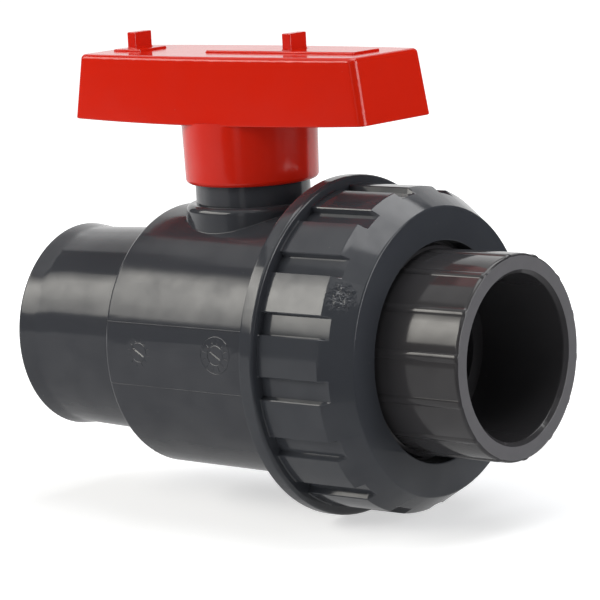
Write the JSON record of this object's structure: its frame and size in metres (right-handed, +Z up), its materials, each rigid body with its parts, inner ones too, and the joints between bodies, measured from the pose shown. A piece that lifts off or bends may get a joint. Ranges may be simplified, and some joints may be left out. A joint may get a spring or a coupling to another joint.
{
  "type": "union ball valve",
  "caption": "In-line plastic ball valve with solvent-weld sockets, a union nut on one side and a quarter-turn lever handle that pulls off as a key.",
  "frame": {"origin": "centre of the inlet socket's pipe stop, on the flow axis", "axes": "+X along the flow from the inlet socket to the union end, +Z up the stem to the handle"},
  "size_m": [0.1729, 0.105, 0.1486],
  "materials": {
    "grey_pvc": "gloss",
    "red_abs": "semi-gloss",
    "white_ptfe": "waxy",
    "black_epdm": "matte"
  },
  "bodies": {
    "housing": {"valve_body": "grey_pvc", "inlet_seat": "white_ptfe", "outlet_seat": "white_ptfe", "inlet_seat_cushion": "black_epdm", "outlet_seat_cushion": "black_epdm", "seat_carrier": "grey_pvc", "carrier_o_ring": "black_epdm", "union_face_o_ring": "black_epdm"},
    "shutter": {"stem": "grey_pvc", "ball": "grey_pvc", "stem_o_ring_lower": "black_epdm", "stem_o_ring_upper": "black_epdm", "stem_thrust_washer": "white_ptfe"},
    "lever": {"handle": "red_abs"},
    "union_tail": {"union_end": "grey_pvc"},
    "nut": {"union_nut": "grey_pvc"}
  },
  "joints": [
    {"name": "quarter_turn", "type": "hinge", "parent": "housing", "child": "shutter", "pos_m": [0.0433, 0, 0], "axis": [0, 0, 1], "range_deg": [-90, 0]},
    {"name": "handle_pull_off", "type": "slide", "parent": "shutter", "child": "lever", "axis": [0, 0, 1], "range_m": [0, 0.035]},
    {"name": "union_part", "type": "slide", "parent": "housing", "child": "union_tail", "axis": [1, 0, 0], "range_m": [0, 0.0136]},
    {"name": "nut_turn", "type": "hinge", "parent": "union_tail", "child": "nut", "pos_m": [0.0433, 0, 0], "axis": [1, 0, 0], "range_deg": [0, 1080]}
  ],
  "couplings": [
    {"joint": "union_part", "follows": "nut_turn", "m_per_rad": 0.0007162}
  ]
}
